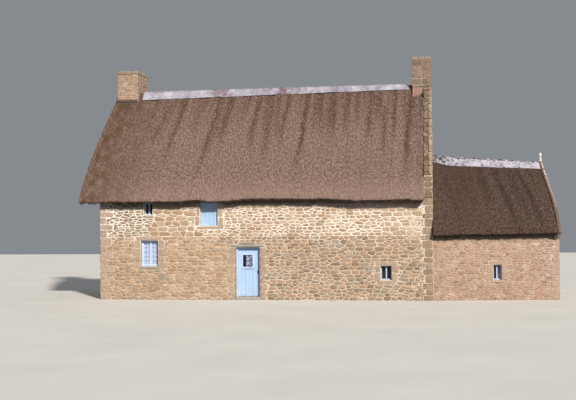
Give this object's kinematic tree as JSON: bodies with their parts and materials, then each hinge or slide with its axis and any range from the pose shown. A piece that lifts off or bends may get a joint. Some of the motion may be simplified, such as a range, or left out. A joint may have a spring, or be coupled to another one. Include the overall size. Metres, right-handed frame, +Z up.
{
  "type": "thatched farmhouse",
  "caption": "Small stone farmhouse under a steep thatch, a chimney on each gable, with a lower thatched wing set back at its right end and a front door that opens.",
  "frame": {"origin": "on the ground in the middle of the main house, half way between its gables and between its long walls", "axes": "+X along the front towards the wing, +Y from the front to the back, +Z up"},
  "size_m": [18.2258, 6.2858, 9.493],
  "materials": {
    "rubble": "rubble of buff and pinkish stones laid in wide pale lime joints",
    "granite": "dressed granite, weathered, with lichen",
    "floor_stone": "worn stone flags",
    "thatch": "weathered reed thatch, pinkish grey-brown, darker streaks down the slope",
    "wing_thatch": "old dark brown thatch with moss",
    "cement": "pale cement ridge with dark lichen spots",
    "oak": "old bare oak",
    "paint": "wood painted pale blue, weathered",
    "glass": "old window glass",
    "linen": "white cotton",
    "iron": "wrought iron, painted dark",
    "finial": "whitewashed stone"
  },
  "bodies": {
    "house": {"back_loft_window_frame": "paint", "back_loft_window_glass": "glass", "back_lower_window_frame": "paint", "back_lower_window_glass": "glass", "back_purlin": "oak", "back_thatch": "thatch", "back_wall": "rubble", "curtain_rod": "iron", "door_pin_lower": "iron", "door_pin_upper": "iron", "front_door_frame": "paint", "front_purlin": "oak", "front_thatch": "thatch", "front_wall_left": "rubble", "front_wall_over_door": "rubble", "front_wall_right": "rubble", "ground_floor": "floor_stone", "left_chimney": "rubble", "left_chimney_cap": "granite", "left_gable_wall": "rubble", "loft_door": "paint", "loft_door_frame": "paint", "loft_floor": "oak", "lower_left_casement_a": "paint", "lower_left_casement_b": "paint", "lower_left_curtain": "linen", "lower_left_frame": "paint", "lower_left_glass": "glass", "lower_left_sill": "granite", "lower_right_window_frame": "paint", "lower_right_window_glass": "glass", "ridge_beam": "oak", "ridge_cap": "cement", "right_chimney": "rubble", "right_chimney_cap": "granite", "right_coping_back": "granite", "right_coping_front": "granite", "right_gable_wall": "rubble", "threshold": "granite", "upper_left_window_frame": "paint", "upper_left_window_glass": "glass", "wing_back_thatch": "wing_thatch", "wing_back_wall": "rubble", "wing_coping": "granite", "wing_finial": "finial", "wing_floor": "floor_stone", "wing_front_thatch": "wing_thatch", "wing_front_wall": "rubble", "wing_gable_wall": "rubble", "wing_ridge_beam": "oak", "wing_ridge_cap": "cement", "wing_window_frame": "paint", "wing_window_glass": "glass"},
    "front_door": {"front_door": "paint", "front_door_pane": "glass", "door_strap_lower": "iron", "door_strap_upper": "iron"}
  },
  "joints": [
    {"name": "front_door_hinge", "type": "hinge", "parent": "house", "child": "front_door", "pos_m": [-0.975, -2.352, 0.54], "axis": [0, 0, 1], "range_deg": [0, 90]}
  ]
}
